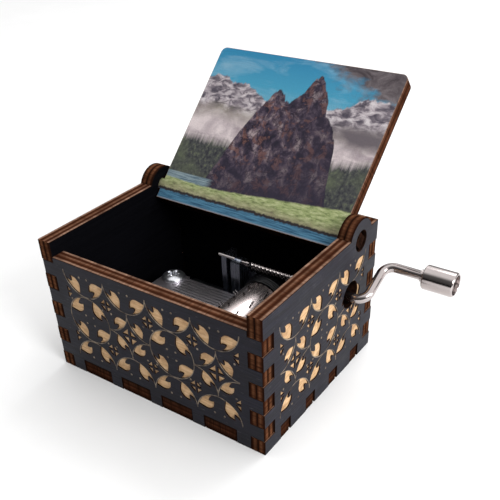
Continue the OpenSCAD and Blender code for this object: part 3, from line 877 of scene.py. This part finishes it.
# Cells across, the pattern's middle, and whether a whole ring comes first
FRONT_PATTERN = ornament(4, 0.45, 18.35, True)
SIDE_PATTERN = ornament(3, 0.2, 19.1, False)
plywood_wall("front_wall", (0, -1, 0), FRONT_PATTERN)
plywood_wall("back_wall", (0, 1, 0), FRONT_PATTERN)
plywood_wall("right_wall", (1, 0, 0), SIDE_PATTERN)
plywood_wall("left_wall", (-1, 0, 0), SIDE_PATTERN)


# Material slots of the floor and of the lid
FLOOR_TOP, FLOOR_UNDER, FLOOR_ENDS = range(3)
PRINTED, LID_STAIN, LID_LAYERS, STUB_CHAR_AND_FOOT_SHADE = range(4)


def plywood_floor():
    """The case's floor: black above, bare below, with burnt tab ends in the walls' slots."""
    bm = cad_copy("base_panel", FLOOR_EASED)
    for f in bm.faces:
        up = f.normal.z
        f.material_index = FLOOR_TOP if up > FACING else FLOOR_UNDER if up < -FACING else FLOOR_ENDS
    materials = [
        inside_material("floor_inside", Vector((1, 0, 0)), Vector((0, 1, 0))),
        bare_material("floor_bare", Vector((0, 0, -1))),
        layer_material("floor_tabs", UP, 0.0, FLOOR_TAB, 0.85)]
    return new_piece(bm, "base_panel_cut", "case", "base_panel", materials)


plywood_floor()

# The picture covers the lid's inner face: its far half tells the width, without the hinge stubs
lid_points = [v.co for v in frame["nodes"]["lid_panel"].data.vertices]
lid_reach = [p.dot(LID_ALONG) for p in lid_points]
LID_INNER = min(p.dot(LID_OUT) for p in lid_points)
PRINT_FOOT = min(lid_reach)
PRINT_H = max(lid_reach) - PRINT_FOOT
PRINT_W = 2 * max(abs(p.x) for p, reach in zip(lid_points, lid_reach) if reach > PRINT_FOOT + PRINT_H / 2)
PRINT_LEFT = -PRINT_W / 2


def plywood_lid():
    """The lid: printed inside, stained outside, with charred edges and stubs, and painted shade in charred
    black on its foot edge.
    """
    bm = cad_copy("lid_panel", EASED)
    for f in bm.faces:
        facing = f.normal.dot(LID_OUT)
        f.material_index = PRINTED if facing < -FACING else LID_STAIN if facing > FACING else LID_LAYERS
        on_stub = abs(f.calc_center_median().x) > PRINT_W / 2 + 0.5 * MM
        # The lid's foot edge faces forwards and down; its black here is painted shade, not charring.
        if on_stub or f.normal.dot(LID_ALONG) < -0.9:
            f.material_index = STUB_CHAR_AND_FOOT_SHADE
    materials = [
        landscape_material(),
        stain_material("lid_stain", Vector((1, 0, 0)), LID_OUT),
        layer_material("lid_edge", -LID_OUT, -LID_INNER - PLY, LID_EDGE, 0.7),
        charred_material("lid_stubs_and_foot_shade")]
    return new_piece(bm, "lid_printed", "lid", "lid_panel", materials)


plywood_lid()


# ------------------------------------------------------------------ metals and plastic

def metal_material(name, colour, roughness, streak=None, scratches=0.25, uneven=0.4):
    """Metal with fine scratches, uneven polish and, if asked, brushing along axis 0, 1 or 2."""
    s = Shader(name)
    scales = [150 if axis == streak else 2700 for axis in range(3)]
    fine = s.noise(s.stretched((1, 0, 0), (0, 1, 0), (0, 0, 1), scales), 1.0, 3.0, 0.7)
    wear = s.noise(s.coords, 260.0, 4.0, 0.6)
    dark = tuple(0.6 * c for c in colour)
    tone = s.mix(s.grey(wear, 0.35, 0.75, 0.0, uneven), colour, dark)
    rough = s.grey(fine, 0.3, 0.7, roughness * (1 - 0.5 * uneven), roughness * (1 + uneven))
    s.bump(fine, scratches, 0.02 * MM)
    return s.finish(tone, rough, 1.0)


def plastic_material():
    """Black moulded plastic, slightly glossy, with smears of grease spread at random."""
    s = Shader("wheel_plastic")
    grain = s.noise(s.coords, 2500.0, 2.0)
    smear = s.noise(s.coords, 350.0, 4.0)
    s.bump(grain, 0.15, 0.03 * MM)
    colour = s.ramp(smear, [(0.35, (0.004, 0.004, 0.005)), (0.7, (0.009, 0.009, 0.011))])
    return s.finish(colour, s.grey(smear, 0.3, 0.7, 0.14, 0.24), Specular_IOR_Level=0.45)


def metal_piece(node, body, material, edge=0.0):
    """A copy of a metal node, its edges eased by edge millimetres and its curves shaded smoothly."""
    return new_piece(cad_copy(node, edge * MM), node + "_finished", body, node, [material], True)


def circle(centre, radius, turns, first, second):
    """So many points on a circle round centre, in the plane of two unit vectors."""
    angles = [math.tau * k / turns for k in range(turns)]
    return [centre + (first * math.cos(a) + second * math.sin(a)) * radius for a in angles]


# A screw's head: shares of its height where the foot and the straight rim end, and the foot's
# radius as a share of the rim's
FOOT_SHARE = 0.08
RIM_SHARE = 0.30
FOOT_R = 0.97
DOME_RINGS = 44
HEAD_TURNS = 96
# The cross recess, as shares of the head's radius: half an arm's width, an arm's reach, and the
# width of its sloping sides
ARM_HALF_W = 0.16
ARM_REACH = 0.56
ARM_SLOPE = 0.08
RECESS_DEPTH = 0.85 * MM
# How far under the head's seat the CAD screw is cut off
SHANK_CUT = 0.01 * MM


def recess(x, y, radius):
    """Depth of the screwdriver's cross at a point of the head."""
    inside = min(ARM_HALF_W * radius - min(abs(x), abs(y)), ARM_REACH * radius - max(abs(x), abs(y)))
    return RECESS_DEPTH * min(1.0, max(0.0, inside / (ARM_SLOPE * radius)))


def head_profile(radius, height):
    """Radius and height up a screw's head: a short straight rim and a dome."""
    profile = [(radius * FOOT_R, 0.0), (radius, FOOT_SHARE * height), (radius, RIM_SHARE * height)]
    for i in range(1, DOME_RINGS):
        a = math.radians(90 * i / DOME_RINGS)
        profile.append((radius * math.cos(a), (RIM_SHARE + (1 - RIM_SHARE) * math.sin(a)) * height))
    return profile


def screw_heads():
    """The comb's screws, with domed heads and cross recesses on the CAD screws' own shanks."""
    bm = cad_copy("comb_screws")
    low, high = node_box("comb_screws")
    seat = node_box("comb")[1].z
    radius = (high.x - low.x) / 2
    bmesh.ops.bisect_plane(
        bm, geom=bm.verts[:] + bm.edges[:] + bm.faces[:], plane_co=(0, 0, seat - SHANK_CUT),
        plane_no=UP, clear_outer=True)
    bmesh.ops.holes_fill(bm, edges=[e for e in bm.edges if e.is_boundary])
    for y in (low.y + radius, high.y - radius):
        centre = Vector((low.x + radius, y, seat))
        rings = []
        for r, rise in head_profile(radius, high.z - seat):
            ring = []
            for p in circle(Vector(), r, HEAD_TURNS, Vector((1, 0, 0)), Vector((0, 1, 0))):
                p.z = rise - recess(p.x, p.y, radius)
                ring.append(bm.verts.new(centre + p))
            rings.append(ring)
        for lower, upper in zip(rings, rings[1:]):
            join_rings(bm, lower, upper)
        bm.faces.new(rings[-1])
        bm.faces.new(rings[0][::-1])
    bm.normal_update()
    return bm


# The roll on the bracket's short top flange: its radius and length, and how far it lies in front
# of the crank's axis and above it
ROLL_R = 0.34 * MM
FLANGE_L = 5.1 * MM
FLANGE_REACH = 1.4 * MM
FLANGE_RISE = 1.2 * MM
# How far in from its ends the roll narrows, and to how much of its radius
ROLL_END = 0.12 * MM
ROLL_END_SHARE = 0.7
ROLL_TURNS = 16


def rolled_bracket():
    """The bracket with its edges eased, and the front edge of its short top flange rolled round."""
    bm = cad_copy("rear_bracket", 0.20 * MM)
    left = node_box("rear_bracket")[0].x
    y = CRANK.y - FLANGE_REACH + 0.3 * ROLL_R
    z = CRANK.z + FLANGE_RISE
    stations = [
        (0.0, 0.01), (0.0, ROLL_END_SHARE), (ROLL_END, 1.0),
        (FLANGE_L - ROLL_END, 1.0), (FLANGE_L, ROLL_END_SHARE), (FLANGE_L, 0.01)]
    rings = []
    for along, share in stations:
        centre = Vector((left + along, y, z))
        points = circle(centre, ROLL_R * share, ROLL_TURNS, Vector((0, 1, 0)), UP)
        rings.append([bm.verts.new(p) for p in points])
    for first, second in zip(rings, rings[1:]):
        join_rings(bm, first, second, 1)
    bm.faces.new(rings[0]).material_index = 1
    bm.faces.new(rings[-1][::-1]).material_index = 1
    bmesh.ops.recalc_face_normals(bm, faces=bm.faces)
    bm.normal_update()
    return bm


# Distance behind the flange's front face, and radius, of each rib's middle, in millimetres
RIBS = [(0.18, 6.40), (0.80, 6.44), (1.45, 6.44), (2.10, 6.50)]
RIB_R = 0.17 * MM
RIB_SIDES = 8
RIB_TURNS = 128


def ribbed_wheel():
    """The moulded wheel, with rounded ribs turned round its flange."""
    bm = cad_copy("worm_wheel", 0.05 * MM)
    axis = Vector(joints["drum_spin"]["pos_m"])
    start = node_box("worm_wheel")[0].y
    back = Vector((0, 1, 0))
    for offset, radius in RIBS:
        rings = []
        for i in range(RIB_TURNS):
            a = math.tau * i / RIB_TURNS
            outwards = Vector((math.cos(a), 0, math.sin(a)))
            centre = Vector((axis.x, start + offset * MM, axis.z)) + outwards * radius * MM
            rings.append([bm.verts.new(p) for p in circle(centre, RIB_R, RIB_SIDES, outwards, back)])
        for near, far in zip(rings, rings[1:] + rings[:1]):
            join_rings(bm, near, far)
    bm.normal_update()
    return bm


# A paler, brighter metal than the bracket's own, given to the roll on its flange as a painted highlight.
ROLL_HIGHLIGHT_METAL = (0.90, 0.84, 0.82)
CHROME = (0.85, 0.86, 0.90)
NICKEL = (0.52, 0.465, 0.455)
WARM_NICKEL = (0.86, 0.75, 0.735)
STEEL = (0.50, 0.47, 0.48)
COMB_STEEL = (0.60, 0.56, 0.59)
DARK_STEEL = (0.15, 0.14, 0.14)
PALE_ZINC = (0.60, 0.60, 0.62)
ZINC = (0.24, 0.25, 0.28)
BLUED = (0.42, 0.45, 0.52)
LEAD = (0.20, 0.20, 0.22)

metal_piece("bedplate", "case", metal_material("bedplate_zinc", ZINC, 0.38, None, 0.5), 0.12)
# The roll on the flange gets the paler metal: a painted highlight along the flange's front edge.
new_piece(rolled_bracket(), "rear_bracket_rolled", "case", "rear_bracket",
          [metal_material("bracket_zinc", BLUED, 0.25, 2, 0.08, 0.2),
           metal_material("bracket_roll_painted_highlight", ROLL_HIGHLIGHT_METAL, 0.38, 0, 0.05, 0.1)], True)
metal_piece("comb", "case",
            metal_material("comb_steel_brushed", COMB_STEEL, 0.36, 0, 0.10, 0.12), 0.02)
metal_piece("comb_weights", "case", metal_material("lead_cast", LEAD, 0.5), 0.03)
new_piece(screw_heads(), "comb_screws_domed", "case", "comb_screws",
          [metal_material("comb_screw_chrome", CHROME, 0.30, None, 0.05, 0.1)], True)
metal_piece("bracket_screws", "case", metal_material("bracket_screw_chrome", CHROME, 0.16), 0.04)
metal_piece("mounting_screws", "case",
            metal_material("mounting_screw_zinc", PALE_ZINC, 0.25), 0.04)
metal_piece("drum_sleeve", "drum",
            metal_material("drum_nickel", WARM_NICKEL, 0.27, 1, 0.006, 0.05), 0.05)
metal_piece("drum_pins", "drum", metal_material("pin_steel", DARK_STEEL, 0.22))
metal_piece("drum_end_plugs", "drum", metal_material("plug_steel", STEEL, 0.25), 0.05)
metal_piece("drum_arbor", "drum", metal_material("arbor_steel", STEEL, 0.2, 1), 0.05)
new_piece(ribbed_wheel(), "worm_wheel_ribbed", "drum", "worm_wheel",
          [plastic_material()], True)
metal_piece("crank_shaft", "crank", metal_material("crank_nickel", NICKEL, 0.17, None, 0.08, 0.3))
metal_piece("shaft_collars", "crank", metal_material("collar_nickel", NICKEL, 0.2), 0.04)
metal_piece("crank_knob", "knob",
            metal_material("knob_nickel", NICKEL, 0.13, 0, 0.12, 0.3), 0.12)

add_camera()
add_studio()
